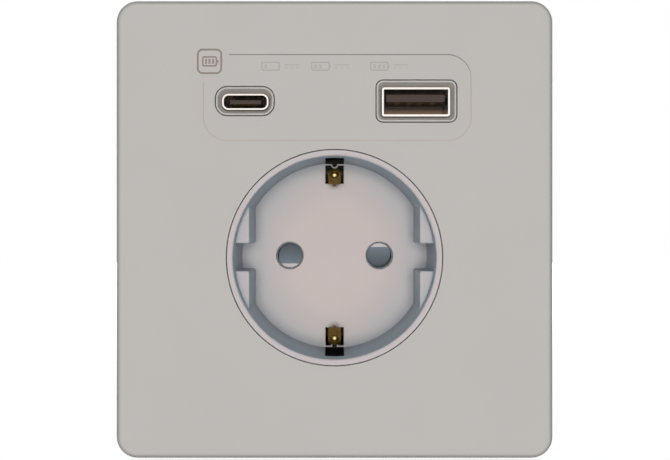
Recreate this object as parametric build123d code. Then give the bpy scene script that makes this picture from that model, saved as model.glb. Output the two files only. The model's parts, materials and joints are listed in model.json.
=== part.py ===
from build123d import *
import math
import os

# Wall socket with two USB ports. Millimetres, +Z up, +X right, the face looks along -Y.
# The origin is the middle of the cover plate on the wall plane.

# Cover plate
plate_width = 84.0
plate_height = 88.0
plate_depth = 12.5
plate_skin = 2.0
plate_side = 1.8
plate_corner = 4.1
plate_edge_round = 1.2
seam_gap = 0.15
seam_round = 0.12
guide_wall = 1.4
guide_length = 3.5

# Round well for the plug
well_drop = 5.4
mouth_diameter = 39.1
cup_wall = 1.1
well_depth = 17.5
floor_thickness = 2.0
mouth_round = 0.4
shoulder_spread = 33.4
shoulder_drop = 3.5
shoulder_round = 0.35
notch_width = 5.4
notch_round = 0.45
pin_pitch = 19.0
pin_diameter = 4.8
pin_length = 19.0
pin_hole_play = 1.1
pin_hole_edge = 0.1

# Earth slots, top and bottom of the well
earth_slot_width = 3.9
earth_slot_reach = 4.35
earth_slot_drop = 4.5
bridge_inset = 0.2
bridge_width = 0.25
bridge_depth = 1.2
bridge_hook_r = 0.5

# Earth strap with its two sprung fingers, places from the slot's inner end and drops from the face
strap_thickness = 0.6
strap_bend = 1.2
finger_width = 2.55
finger_tip_gap = 2.05
finger_tip_drop = 6.5
finger_bulge_past = 0.2
finger_bulge_drop = 13.0
finger_root_gap = 1.0
finger_root_drop = 16.5
finger_bend = 2.0
finger_pip_r = 0.9
finger_pip_drop = 8.0
finger_rib_r = 0.5
finger_corner = 0.75

# Shutter that turns on a post behind the pin holes
running_gap = 0.3
shutter_thickness = 4.7
shutter_reach = 12.0
shutter_ramp_round = 3.0
shutter_land_round = 4.7
shutter_hub_r = 4.2
shutter_land = 3.2
ramp_edge_offset = 1.8
ramp_cover = 0.25
ramp_depth = 4.0
pivot_r = 2.0
pivot_clearance = 0.1
spring_wire = 0.4
spring_coil_r = 2.75
spring_turns = 3
spring_pitch = 0.6
spring_arm = 6.0
spring_room = 0.35

# Keeper behind the shutter, and the skirt on the well that carries it
keeper_r = 17.3
keeper_thickness = 1.5
skirt_wall = 1.4
strap_clearance = 0.2
well_screw_angle = 40.0
sweep_gap = 2.0
well_boss_r = 3.0

# Rear housing
cup_room = 0.35
housing_wall = 1.6
wire_guide_length = 6.9
housing_back = 2.0
housing_round = 1.5
vent_count = 4
vent_pitch = 4.0
vent_width = 1.4
vent_length = 6.5
vent_height = 21.5

# Steel support frame
frame_sheet = 1.2
frame_inset = 0.3
frame_corner = 3.0
cup_clearance = 0.6
box_screw_spacing = 60.0
box_slot_length = 7.0
box_slot_width = 4.2
box_slot_edge = 2.0
lug_x = 22.0
lug_width = 9.0
lug_height = 6.0
lug_window_width = 6.0
lug_window_height = 2.2
clip_thickness = 1.4
clip_gap = 0.3
clip_nose = 0.9
clip_play = 0.2

# Screws
screw_play = 0.05
hole_play = 0.25
screw_slot_width = 0.6
screw_slot_depth = 0.6
frame_screw_r = 1.0
frame_screw_head_r = 2.0
frame_screw_head = 1.3
frame_screw_length = 8.0
frame_boss_wall = 0.8
frame_screw_inset = 1.7
frame_screw_angles = (36.0, -14.0)
well_screw_r = 1.1
well_screw_head_r = 2.4
well_screw_head = 1.6
well_screw_bite = 3.5
well_screw_seat = 4.2

# Line, neutral and earth contacts
fork_thickness = 0.7
fork_width = 5.0
fork_room = 0.15
fork_squeeze = 0.6
fork_flare_room = 0.45
fork_lead_in = 2.3
fork_bend = 0.8
fork_gap = 0.7
tail_width = 4.0
terminal_width = 6.0
terminal_length = 8.0
terminal_height = 7.0
terminal_gap = 4.0
terminal_bore_r = 1.8
terminal_bore_length = 6.5
terminal_bore_inset = 0.4
earth_terminal_drop = 14.1
wire_entry_r = 2.0
wire_tube_wall = 1.0
terminal_screw_r = 1.5
terminal_screw_head_r = 2.1
terminal_screw_head = 1.4
driver_hole_r = 2.6

# USB ports
port_height = 24.6
usb_recess = 1.0
usb_funnel_depth = 1.5
usb_recess_side = 0.73
usb_recess_top = 0.805
usb_collar_ring = 0.36
usb_clearance = 0.16
flat_end = 0.02
usb_c_x = -17.2
usb_c_width = 8.94
usb_c_height = 3.1
usb_c_corner = 1.25
usb_c_wall = 0.31
usb_c_collar_corner = 2.2
usb_c_tongue_width = 6.0
usb_c_tongue_height = 0.75
usb_c_tongue_drop = 0.5
usb_c_contact_pitch = 0.5
usb_c_contact_count = 10
usb_a_x = 15.7
usb_a_width = 13.15
usb_a_height = 5.6
usb_a_corner = 0.5
usb_a_wall = 0.38
usb_a_collar_corner = 1.3
usb_a_tongue_width = 11.3
usb_a_tongue_height = 1.4
usb_a_tongue_rise = 0.83
usb_a_tongue_drop = 1.0
usb_a_contact_places = (-3.5, -1.0, 1.0, 3.5)
usb_base_length = 1.6
usb_a_contact_width = 1.0
usb_c_contact_width = 0.26
contact_foil = 0.1
contact_setback = 1.2

# Carrier behind the plate, and the USB board on it
carrier_gap = 0.1
carrier_sheet = 1.5
carrier_rim = 1.0
carrier_rise = 6.5
carrier_guide_gap = 1.3
carrier_corner = 3.0
pillar_gap = 0.5
pillar_r = 3.0
carrier_screw_r = 1.0
carrier_screw_head_r = 2.0
carrier_screw_head = 1.0
carrier_screw_length = 6.0
usb_board_edge = 0.225
usb_board_height = 11.5
usb_board_drop = 0.85
usb_board_thickness = 1.2
usb_board_gap = 0.5
board_corner = 0.5
peg_r = 0.75
peg_post_r = 1.5
peg_inset = 2.2
peg_rise = 1.7
top_peg_drop = 2.0

# Power board and what it carries, places by x and by the depth behind the board's front edge
power_board_z = 3.0
power_board_thickness = 1.2
power_board_gap = 1.1
power_board_play = 0.5
rail_overlap = 1.5
lead_rail_gap = 0.3
rail_height = 1.4
transformer_inset = 6.1
core_width = 14.0
core_height = 12.0
core_depth = 5.5
core_leg = 4.0
core_yoke = 2.5
winding_play = 0.1
winding_build = 2.8
input_capacitor_r = 4.0
input_capacitor_height = 12.0
input_capacitor_place = (-13.0, 7.5)
output_capacitor_r = 3.15
output_capacitor_height = 11.0
output_capacitor_x = 12.5
output_capacitor_inset = 3.4
capacitor_groove = 0.35
rectifier_place = (12.5, 3.1)
rectifier_size = (6.2, 4.6, 2.4)
power_chip_place = (4.0, 6.5)
chip_size = (5.0, 4.0, 1.6)
usb_chip_place = (-1.5, -1.4)
chip_legs = 4
chip_leg_pitch = 1.1
fuse_r = 1.5
fuse_length = 5.0
fuse_place = (-12.8, 1.7)
fuse_wire_r = 0.35
lead_r = 0.6
lead_bend = 3.0
usb_lead_x = 6.0
usb_lead_inset = 2.5
lead_solder_rise = 0.9
lead_slot_length = 18.0
lead_slot_height = 3.0

# Depth by which the forms of one moulding run into each other
bond = 0.3

# Places and sizes that follow from the sizes above
face_y = -plate_depth
skin_back_y = face_y + plate_skin
well_z = -well_drop
cup_inner_r = mouth_diameter / 2
cup_outer_r = cup_inner_r + cup_wall
floor_y = face_y + well_depth
floor_back_y = floor_y + floor_thickness
shoulder_y = face_y + shoulder_drop
pin_x = pin_pitch / 2
pin_hole_r = (pin_diameter + pin_hole_play) / 2
earth_slot_inner_r = cup_inner_r - earth_slot_reach
finger_tip_r = earth_slot_inner_r + finger_tip_gap
finger_bulge_r = earth_slot_inner_r - finger_bulge_past
finger_root_r = earth_slot_inner_r + finger_root_gap
shutter_front_y = floor_back_y + running_gap
shutter_back_y = shutter_front_y + shutter_thickness
keeper_y = shutter_back_y + running_gap
keeper_back_y = keeper_y + keeper_thickness
strap_back_y = keeper_back_y + strap_thickness
frame_back_y = -frame_inset
frame_front_y = frame_back_y - frame_sheet
frame_size = box_screw_spacing + box_slot_length + 2 * box_slot_edge
housing_inner_r = well_drop + cup_outer_r + cup_room
housing_r = housing_inner_r + housing_wall
well_screw_reach = shutter_reach + sweep_gap + well_boss_r
well_screw_x = well_screw_reach * math.cos(math.radians(well_screw_angle))
well_screw_z = well_z - well_screw_reach * math.sin(math.radians(well_screw_angle))
well_screw_seat_y = keeper_back_y + well_screw_seat
leaf_middle = (pin_diameter + fork_thickness) / 2
fork_leaf = leaf_middle + fork_room
fork_pinch = leaf_middle - fork_squeeze
fork_flare = leaf_middle + fork_flare_room
fork_front_y = strap_back_y + fork_gap
fork_back_y = floor_y + pin_length + fork_thickness / 2 + fork_gap
terminal_back_y = fork_back_y + fork_thickness / 2 + fork_gap
housing_depth = terminal_back_y + wire_guide_length
housing_back_y = housing_depth - housing_back
terminal_inner_x = pin_x + fork_width / 2 + terminal_gap
terminal_outer_x = terminal_inner_x + terminal_width
terminal_x = (terminal_inner_x + terminal_outer_x) / 2
wire_x = terminal_x - terminal_bore_inset
earth_terminal_z = well_z - earth_terminal_drop
earth_terminal_back_y = strap_back_y + terminal_length
port_y = face_y + usb_recess
collar_side = usb_recess_side + usb_collar_ring
collar_top = usb_recess_top + usb_collar_ring
usb_c_collar_width = usb_c_width + 2 * collar_side
usb_c_collar_height = usb_c_height + 2 * collar_top
usb_a_collar_width = usb_a_width + 2 * collar_side
usb_a_collar_height = usb_a_height + 2 * collar_top
guide_r = cup_outer_r + seam_gap + guide_wall
carrier_low_z = well_z + guide_r + carrier_guide_gap
carrier_top_z = port_height + carrier_rise
carrier_front_y = skin_back_y + carrier_gap
carrier_back_y = carrier_front_y + carrier_sheet
usb_board_back_y = frame_front_y - usb_board_gap
usb_board_y = usb_board_back_y - usb_board_thickness
usb_board_z = port_height - usb_board_drop
usb_c_end = abs(usb_c_x) + usb_c_width / 2
usb_a_end = abs(usb_a_x) + usb_a_width / 2
usb_board_half = max(usb_c_end, usb_a_end) + usb_board_edge
usb_board_low_z = usb_board_z - usb_board_height / 2
usb_board_top_z = usb_board_z + usb_board_height / 2
pillar_x = usb_board_half + pillar_gap + pillar_r
lead_rise = usb_board_low_z + lead_solder_rise
power_board_front = strap_back_y + power_board_gap
power_board_back = housing_back_y - power_board_play
transformer_y = power_board_back - transformer_inset
usb_lead_y = power_board_front + usb_lead_inset
power_board_top = power_board_z + power_board_thickness
rail_inner_x = terminal_inner_x + 2 * lead_r + lead_rail_gap
power_board_half = rail_inner_x + rail_overlap


def front(y):
    """Plane at depth y, seen from the front: its x runs right and its y runs up."""
    return Plane(origin=(0, y, 0), x_dir=(1, 0, 0), z_dir=(0, -1, 0))


def side(x):
    """Plane across the well at x: its x is the height over the well's axis, its y the depth."""
    return Plane(origin=(x, 0, well_z), x_dir=(0, 0, 1), z_dir=(-1, 0, 0))


def slab(outline, y_front, y_back):
    """Solid of a front view outline between two depths."""
    return extrude(front(y_back) * outline, y_back - y_front)


def rod(radius, start, end):
    """Round bar between two points."""
    way = Vector(*end) - Vector(*start)
    return Solid.make_cylinder(radius, way.length, Plane(origin=start, z_dir=way))


def block(x_span, y_span, z_span):
    """Box from its lowest and highest x, y and z."""
    size = [high - low for low, high in (x_span, y_span, z_span)]
    middle = [(high + low) / 2 for low, high in (x_span, y_span, z_span)]
    return Pos(*middle) * Box(*size)


def slotted_screw(start, way, radius, length, head_r, head_height):
    """Pan head screw, its head's seat at start and its shank along way."""
    shank = Solid.make_cylinder(radius, length)
    head = Pos(0, 0, -head_height) * Solid.make_cylinder(head_r, head_height)
    slot = Pos(0, 0, -head_height) * Box(2 * head_r, screw_slot_width, 2 * screw_slot_depth)
    return Plane(origin=start, z_dir=way) * (shank + head - slot)


def mirrored(shape):
    """Copy on the other side of the middle plane x = 0."""
    return mirror(shape, about=Plane.YZ)


def both_sides(shape):
    """The shape and its copy on the other side of x = 0, as one group."""
    return Compound(children=[shape, mirrored(shape)])


def usb_outline(x, width, height, corner, grow=0.0):
    """Front view outline of a USB port, grown all round."""
    corner = min(corner + grow, height / 2 + grow - flat_end)
    return Pos(x, port_height) * RectangleRounded(width + 2 * grow, height + 2 * grow, corner)


def usb_c_outline(grow=0.0):
    return usb_outline(usb_c_x, usb_c_width, usb_c_height, usb_c_corner, grow)


def usb_a_outline(grow=0.0):
    return usb_outline(usb_a_x, usb_a_width, usb_a_height, usb_a_corner, grow)


def usb_c_collar(grow=0.0):
    return usb_outline(usb_c_x, usb_c_collar_width, usb_c_collar_height, usb_c_collar_corner, grow)


def usb_a_collar(grow=0.0):
    return usb_outline(usb_a_x, usb_a_collar_width, usb_a_collar_height, usb_a_collar_corner, grow)


def well_circle(radius):
    return Pos(0, well_z) * Circle(radius)


def round_front_edges(shape, radius, outlines):
    """Round the edges of a shape that lie on the face along the given outlines."""
    wires = [front(face_y) * outline for outline in outlines]
    near = []
    for edge in shape.edges().group_by(Axis.Y)[0]:
        if any(wire.wire().distance_to(edge.center()) < seam_gap / 10 for wire in wires):
            near.append(edge)
    return fillet(near, radius)


def clip_leg(x, up):
    """Leg on the plate's top or bottom that snaps its nose into a lug of the support frame."""
    lug_outer = frame_size / 2
    near = lug_outer + clip_gap
    far = near + clip_thickness
    window_y = frame_front_y - lug_height / 2
    nose_half = lug_window_width / 2 - clip_play
    nose_high = lug_window_height / 2 - clip_play
    leg = block((x - nose_half, x + nose_half), (skin_back_y - bond, window_y + nose_high), (near, far))
    nose_y = (window_y - nose_high, window_y + nose_high)
    nose = block((x - nose_half, x + nose_half), nose_y, (near - clip_nose, near + bond))
    leg = leg + nose
    return leg if up else mirror(leg, about=Plane.XY)


def front_plate():
    """Cover plate: a shallow shell with a hole for the well and for each USB collar."""
    shell = slab(RectangleRounded(plate_width, plate_height, plate_corner), face_y, 0)
    shell = fillet(shell.edges().group_by(Axis.Y)[0], plate_edge_round)
    inner_corner = plate_corner - plate_side
    hollow = RectangleRounded(plate_width - 2 * plate_side, plate_height - 2 * plate_side, inner_corner)
    shell -= slab(hollow, skin_back_y, 0)
    shell += slab(well_circle(guide_r), skin_back_y - bond, skin_back_y + guide_length)
    openings = [well_circle(guide_r - guide_wall), usb_c_collar(seam_gap), usb_a_collar(seam_gap)]
    for opening in openings:
        shell -= slab(opening, face_y, skin_back_y + guide_length)
    shell = round_front_edges(shell, seam_round, openings)
    for x in (-lug_x, lug_x):
        shell += clip_leg(x, True) + clip_leg(x, False)
    return shell


def shoulders():
    """Two side blocks of the well, each parted by a notch down to the floor."""
    reach = 2 * (cup_outer_r + cup_wall)
    channel = Rectangle(shoulder_spread, reach) + Rectangle(reach, notch_width)
    inner = [v for v in channel.vertices() if abs(v.X) < reach / 2 - bond and abs(v.Y) < reach / 2 - bond]
    channel = fillet(inner, notch_round)
    outline = Pos(0, well_z) * (Circle(cup_inner_r + bond) - channel)
    blocks = slab(outline, shoulder_y, floor_y + bond)
    return fillet(blocks.edges().group_by(Axis.Y)[0], shoulder_round)


def earth_slot():
    """Room for one earth finger: through the floor and up the cup's wall, above the well's axis."""
    wall_from = cup_inner_r - bridge_inset
    out = cup_outer_r + cup_wall
    half = earth_slot_width / 2
    z_span = (well_z + earth_slot_inner_r, well_z + out)
    floor_cut = block((-half, half), (floor_y - bond, floor_back_y), z_span)
    wall_cut = block((-half, half), (face_y + earth_slot_drop, floor_back_y), (well_z + wall_from, well_z + out))
    return floor_cut + wall_cut


def earth_bridge():
    """Thin bar across the earth slot at the foot of the wall, with a hook round a small notch."""
    middle = cup_inner_r - bridge_inset - bridge_width / 2
    bar = Rectangle(earth_slot_width + 2 * bond, bridge_width)
    hook_r = bridge_hook_r + bridge_width
    hook = Circle(hook_r) & (Pos(0, -hook_r / 2) * Rectangle(2 * hook_r, hook_r))
    outline = Pos(0, well_z + middle) * (bar + hook - Circle(bridge_hook_r))
    return slab(outline, floor_y, floor_y + bridge_depth)


def about_well(shape):
    """Copy turned half way round the well's axis."""
    return Pos(0, 0, well_z) * Rot(0, 180, 0) * Pos(0, 0, -well_z) * shape


def well_boss(x, y_front, y_back, radius):
    return slab(Pos(x, well_screw_z) * Circle(radius), y_front, y_back)


def socket_well():
    """Round cup with a flush rim, shoulders, pin holes, earth slots, and a skirt behind its floor."""
    corners = [
        (0, floor_y),
        (cup_inner_r, floor_y),
        (cup_inner_r, face_y),
        (cup_outer_r, face_y),
        (cup_outer_r, floor_back_y),
        (0, floor_back_y),
    ]
    profile = make_face(Polyline(*corners, close=True))
    rim = profile.vertices().group_by(Axis.Y)[0].sort_by(Axis.X)
    profile = fillet(rim[0], mouth_round)
    rim = profile.vertices().group_by(Axis.Y)[0].sort_by(Axis.X)
    profile = fillet(rim[-1], seam_round)
    profile = Pos(0, 0, well_z) * profile
    cup = revolve(profile, Axis((0, 0, well_z), (0, 1, 0)))
    cup += shoulders()
    skirt = well_circle(keeper_r) - well_circle(keeper_r - skirt_wall)
    cup += slab(skirt, floor_back_y - bond, keeper_y)
    for x in (-well_screw_x, well_screw_x):
        cup += well_boss(x, floor_back_y - bond, keeper_y, well_boss_r)
        cup -= well_boss(x, keeper_y - well_screw_bite, keeper_y, well_screw_r + screw_play)
    slot = earth_slot() + strap_passage(floor_back_y, keeper_y)
    cup = cup - slot - about_well(slot)
    cup = cup + earth_bridge() + about_well(earth_bridge())
    for x in (-pin_x, pin_x):
        cup -= slab(Pos(x, well_z) * Circle(pin_hole_r), floor_y, floor_back_y)
        mouth = Solid.make_cone(pin_hole_r + pin_hole_edge, pin_hole_r, pin_hole_edge)
        cup -= Plane(origin=(x, floor_y, well_z), z_dir=(0, 1, 0)) * mouth
    return cup


def strap_passage(y_front, y_back):
    """Clear way for one leg of the earth strap past the skirt and the keeper."""
    half = finger_width / 2 + strap_clearance
    inner = finger_root_r - max(strap_bend, strap_thickness / 2) - strap_clearance
    return block((-half, half), (y_front, y_back), (well_z + inner, well_z + cup_outer_r + cup_wall))


def earth_finger():
    """Upper half of the earth strap: a sprung finger with a pressed pip and rib, its leg and half the base."""
    base_y = keeper_back_y + strap_thickness / 2
    tip = (finger_tip_r, face_y + finger_tip_drop)
    bulge = (finger_bulge_r, face_y + finger_bulge_drop)
    root = (finger_root_r, face_y + finger_root_drop)
    route = [tip, bulge, root, (finger_root_r, base_y), (0, base_y)]
    line = FilletPolyline(*route, radius=(finger_bend, finger_bend, strap_bend))
    strip = extrude(side(0) * trace(line, strap_thickness), finger_width / 2, both=True)
    corners = strip.faces().sort_by(Axis.Y)[0].edges().filter_by(Axis.X, reverse=True)
    strip = chamfer(corners, finger_corner)
    skin = strap_thickness / 2
    pip_fall = (finger_pip_drop - finger_tip_drop) / (finger_bulge_drop - finger_tip_drop)
    pip = (tip[0] + pip_fall * (bulge[0] - tip[0]) - skin, face_y + finger_pip_drop)
    rib_route = [pip, (bulge[0] - skin, bulge[1]), (root[0] - skin, root[1])]
    rib_line = side(0) * FilletPolyline(*rib_route, radius=finger_bend)
    section = Plane(origin=rib_line @ 0, z_dir=rib_line % 0) * Circle(finger_rib_r)
    rib = sweep(section, path=rib_line)
    return strip + rib + Pos(rib_line @ 0) * Sphere(finger_pip_r)


def earth_strap():
    """Brass strap across the back of the keeper, with a finger at each end and a pad for its terminal."""
    finger = earth_finger()
    half = terminal_height / 2
    z_span = (earth_terminal_z - half, earth_terminal_z + half)
    low = max(z_span[0], well_z - finger_root_r + strap_bend + strap_thickness)
    pad = block((-terminal_width / 2, terminal_width / 2), (keeper_back_y, strap_back_y), (low, z_span[1]))
    return finger + about_well(finger) + pad


def shutter():
    """Two bladed shutter: each blade has a high land and a ramp that a plug pin pushes aside."""
    land_end = -(ramp_edge_offset + shutter_land)
    ramp_end = pin_hole_r + ramp_cover
    blade = Pos(-shutter_reach / 2, (land_end + ramp_end) / 2) * Rectangle(shutter_reach, ramp_end - land_end)
    blade = fillet(blade.vertices().group_by(Axis.X)[0].sort_by(Axis.Y)[-1], shutter_ramp_round)
    blade = fillet(blade.vertices().group_by(Axis.X)[0].sort_by(Axis.Y)[0], shutter_land_round)
    blade = blade & Circle(shutter_reach)
    blades = blade + Rot(0, 0, 180) * blade
    body = slab(Pos(0, well_z) * (blades + Circle(shutter_hub_r)), shutter_front_y, shutter_back_y)
    foot = (-ramp_edge_offset, shutter_front_y)
    deep = (ramp_end + bond, shutter_front_y + ramp_depth)
    wedge = make_face(Polyline(foot, (ramp_end + bond, shutter_front_y), deep, close=True))
    blade_span = shutter_reach - shutter_hub_r
    ramp = extrude(side(-shutter_hub_r) * wedge, blade_span)
    hub = slab(well_circle(shutter_hub_r), shutter_front_y, shutter_back_y)
    body = body - ramp - about_well(ramp) + hub
    body -= slab(well_circle(pivot_r + pivot_clearance), shutter_front_y, shutter_back_y)
    pocket_y = shutter_back_y - spring_depth()
    body -= slab(well_circle(spring_coil_r + spring_wire / 2 + spring_room), pocket_y, shutter_back_y)
    slot_half = spring_wire / 2 + spring_room
    slot = block((-slot_half, slot_half), (pocket_y, shutter_back_y), (well_z - spring_arm - spring_room, well_z))
    post = slab(well_circle(pivot_r + pivot_clearance), shutter_front_y, shutter_back_y)
    return body - (slot - post)


def spring_depth():
    """Depth of the pocket that holds the spring's coil."""
    return spring_turns * spring_pitch + spring_wire + 2 * spring_room


def shutter_spring():
    """Torsion spring round the pivot: one arm in the shutter's slot, one end in the keeper."""
    first_y = shutter_back_y - spring_depth() + spring_room + spring_wire / 2
    height = spring_turns * spring_pitch
    coil = Helix(spring_pitch, height, spring_coil_r, center=(0, first_y, well_z), direction=(0, 1, 0))
    section = Plane(origin=coil @ 0, z_dir=coil % 0) * Circle(spring_wire / 2)
    wire = sweep(section, path=coil, is_frenet=True)
    start = coil @ 0
    end = coil @ 1
    out = (start - Vector(0, first_y, well_z)).normalized()
    arm = rod(spring_wire / 2, start, start + out * (spring_arm - spring_coil_r))
    anchor = rod(spring_wire / 2, end, (end.X, keeper_back_y - bond, end.Z))
    joints = Pos(start) * Sphere(spring_wire / 2) + Pos(end) * Sphere(spring_wire / 2)
    turned = wire + arm + anchor + joints
    angle = math.degrees(math.atan2(out.Z, out.X))
    return Pos(0, 0, well_z) * Rot(0, 90 + angle, 0) * Pos(0, 0, -well_z) * turned


def shutter_keeper():
    """Round plate behind the shutter, with the pivot post, pin windows and two screw ears."""
    outline = well_circle(keeper_r)
    for x in (-well_screw_x, well_screw_x):
        outline += Pos(x, well_screw_z) * Circle(well_boss_r)
        outline -= Pos(x, well_screw_z) * Circle(well_screw_r + hole_play)
    for x in (-pin_x, pin_x):
        outline -= Pos(x, well_z) * Circle(pin_hole_r)
    plate = slab(outline, keeper_y, keeper_back_y)
    passage = strap_passage(keeper_y, keeper_back_y)
    plate = plate - passage - about_well(passage)
    post = slab(well_circle(pivot_r), floor_back_y, keeper_y + bond)
    anchor = slab(Pos(0, well_z - spring_coil_r) * Circle(spring_wire / 2 + spring_room), keeper_y, keeper_back_y)
    return plate + post - anchor


def fork():
    """Right hand pin contact: a bent brass fork that grips the pin, with a tail to its terminal."""
    half = [
        (fork_flare, fork_front_y),
        (fork_pinch, fork_front_y + fork_lead_in),
        (fork_leaf, fork_front_y + 2 * fork_lead_in),
        (fork_leaf, fork_back_y),
    ]
    other = [(-z, y) for z, y in reversed(half)]
    line = FilletPolyline(*half, *other, radius=fork_bend)
    bent = extrude(side(pin_x) * trace(line, fork_thickness), fork_width / 2, both=True)
    tail_y = (fork_back_y - fork_thickness / 2, fork_back_y + fork_thickness / 2)
    tail_z = (well_z - tail_width / 2, well_z + tail_width / 2)
    return bent + block((pin_x, terminal_inner_x), tail_y, tail_z)


def terminal(x, y_back, z, screw_way):
    """Brass terminal block, bored for the wire from behind and for its clamp screw from one side."""
    half_x = terminal_width / 2
    half_z = terminal_height / 2
    body = block((x - half_x, x + half_x), (y_back - terminal_length, y_back), (z - half_z, z + half_z))
    screw_y = y_back - terminal_length / 2
    reach = terminal_width + terminal_height
    out = (x + screw_way[0] * reach, screw_y, z + screw_way[1] * reach)
    body -= rod(terminal_screw_r, (x, screw_y, z), out)
    return body


def wire_bore(x, y_back, z):
    return rod(terminal_bore_r, (x, y_back - terminal_bore_length, z), (x, y_back, z))


def side_terminal():
    body = terminal(terminal_x, terminal_back_y, well_z, (1, 0))
    return body - wire_bore(wire_x, terminal_back_y, well_z)


def earth_terminal():
    body = terminal(0, earth_terminal_back_y, earth_terminal_z, (0, -1))
    return body - wire_bore(0, earth_terminal_back_y, earth_terminal_z)


def terminal_screws():
    """One clamp screw in each terminal, its tip at the wire's bore."""
    side_y = terminal_back_y - terminal_length / 2
    earth_y = earth_terminal_back_y - terminal_length / 2
    earth_face_z = earth_terminal_z - terminal_height / 2
    radius = terminal_screw_r - screw_play
    side_length = terminal_outer_x - wire_x - terminal_bore_r
    earth_length = terminal_height / 2 - terminal_bore_r
    size = (terminal_screw_head_r, terminal_screw_head)
    side_screw = slotted_screw((terminal_outer_x, side_y, well_z), (-1, 0, 0), radius, side_length, *size)
    earth_screw = slotted_screw((0, earth_y, earth_face_z), (0, 0, 1), radius, earth_length, *size)
    return Compound(children=[side_screw, mirrored(side_screw), earth_screw])


def wire_tube(x, z, y_front):
    """Guide in the housing from the back wall to a terminal's wire bore, and the hole in it."""
    tube = slab(Pos(x, z) * Circle(wire_entry_r + wire_tube_wall), y_front, housing_back_y + bond)
    hole = slab(Pos(x, z) * Circle(wire_entry_r), y_front, housing_depth)
    return tube, hole


def frame_screw_places():
    """Front view places of the frame's screws, inside the housing's wall."""
    reach = housing_inner_r - frame_screw_inset
    turns = [math.radians(angle) for angle in frame_screw_angles]
    return [(sign * reach * math.cos(turn), reach * math.sin(turn)) for turn in turns for sign in (-1, 1)]


def rear_housing():
    """Round box behind the wall plane, with bosses, wire guides, board rails and vents."""
    shell = slab(Circle(housing_r), frame_back_y, housing_depth)
    shell = fillet(shell.edges().group_by(Axis.Y)[-1], housing_round)
    shell -= slab(Circle(housing_inner_r), frame_back_y, housing_back_y)
    inside = Circle(housing_inner_r + bond)
    boss_r = frame_screw_r + frame_boss_wall
    boss_y = frame_back_y + frame_screw_length + frame_boss_wall
    for x, z in frame_screw_places():
        wall_way = Vector(x, z).normalized() * (housing_r - housing_wall / 2)
        web = SlotCenterToCenter((wall_way - Vector(x, z)).length, 2 * boss_r)
        web = Pos((wall_way.X + x) / 2, (wall_way.Y + z) / 2) * Rot(0, 0, math.degrees(math.atan2(z, x))) * web
        shell += slab(web & inside, frame_back_y, boss_y)
        shell -= slab(Pos(x, z) * Circle(frame_screw_r + screw_play), frame_back_y, boss_y - frame_boss_wall)
    for x in (-well_screw_x, well_screw_x):
        shell += well_boss(x, keeper_back_y, housing_back_y + bond, well_screw_head_r + frame_boss_wall)
        shell -= well_boss(x, keeper_back_y, housing_depth, well_screw_r + hole_play)
        shell -= well_boss(x, well_screw_seat_y, housing_depth, well_screw_head_r + hole_play)
    guides = [
        wire_tube(-wire_x, well_z, terminal_back_y),
        wire_tube(wire_x, well_z, terminal_back_y),
        wire_tube(0, earth_terminal_z, earth_terminal_back_y),
    ]
    for tube, hole in guides:
        shell = shell + tube - hole
    side_y = terminal_back_y - terminal_length / 2
    earth_y = earth_terminal_back_y - terminal_length / 2
    shell -= rod(driver_hole_r, (terminal_outer_x, side_y, well_z), (housing_r, side_y, well_z))
    shell -= rod(driver_hole_r, (-terminal_outer_x, side_y, well_z), (-housing_r, side_y, well_z))
    shell -= rod(driver_hole_r, (0, earth_y, earth_terminal_z - terminal_height / 2), (0, earth_y, -housing_r))
    rail_z = (power_board_z - rail_height, power_board_z)
    rail = block((rail_inner_x, housing_r), (power_board_front, housing_back_y + bond), rail_z)
    rail = rail & slab(inside, frame_back_y, housing_depth)
    shell = shell + rail + mirrored(rail)
    for i in range(vent_count):
        x = (i - (vent_count - 1) / 2) * vent_pitch
        shell -= slab(Pos(x, vent_height) * SlotOverall(vent_length, vent_width, 90), housing_back_y, housing_depth)
    return shell


def frame_screws():
    """Screws through the support frame into the housing's bosses."""
    size = (frame_screw_r, frame_screw_length, frame_screw_head_r, frame_screw_head)
    return Compound(
        children=[slotted_screw((x, frame_front_y, z), (0, 1, 0), *size) for x, z in frame_screw_places()]
    )


def well_screws():
    """Screws from behind through the housing and the keeper into the well's bosses."""
    length = well_screw_seat_y - keeper_y + well_screw_bite - bond
    size = (well_screw_r, length, well_screw_head_r, well_screw_head)
    screw = slotted_screw((well_screw_x, well_screw_seat_y, well_screw_z), (0, -1, 0), *size)
    return both_sides(screw)


def frame_lug(x, up):
    """Tab folded forward from the frame's edge, with a window for the plate's clip."""
    outer = frame_size / 2
    z_span = (outer - frame_sheet, outer)
    lug = block((x - lug_width / 2, x + lug_width / 2), (frame_front_y - lug_height, frame_back_y), z_span)
    middle = frame_front_y - lug_height / 2
    y_span = (middle - lug_window_height / 2, middle + lug_window_height / 2)
    lug -= block((x - lug_window_width / 2, x + lug_window_width / 2), y_span, z_span)
    return lug if up else mirror(lug, about=Plane.XY)


def support_frame():
    """Steel frame on the wall: well opening, two box screw slots, lugs for the plate's clips."""
    outline = RectangleRounded(frame_size, frame_size, frame_corner)
    outline -= well_circle(cup_outer_r + cup_clearance)
    outline -= Pos(0, lead_rise) * SlotOverall(lead_slot_length, lead_slot_height)
    for sign in (-1, 1):
        outline -= Pos(sign * box_screw_spacing / 2, 0) * SlotOverall(box_slot_length, box_slot_width)
        outline -= Pos(sign * pillar_x, port_height) * Circle(carrier_screw_r + screw_play)
    for x, z in frame_screw_places():
        outline -= Pos(x, z) * Circle(frame_screw_r + hole_play)
    sheet = slab(outline, frame_front_y, frame_back_y)
    for sign in (-1, 1):
        sink = countersink(screw_play)
        sheet -= Plane(origin=(sign * pillar_x, frame_back_y, port_height), z_dir=(0, -1, 0)) * sink
        sheet += frame_lug(sign * lug_x, True) + frame_lug(sign * lug_x, False)
    return sheet


def countersink(grow=0.0):
    return Solid.make_cone(carrier_screw_head_r + grow, carrier_screw_r + grow, carrier_screw_head)


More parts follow.
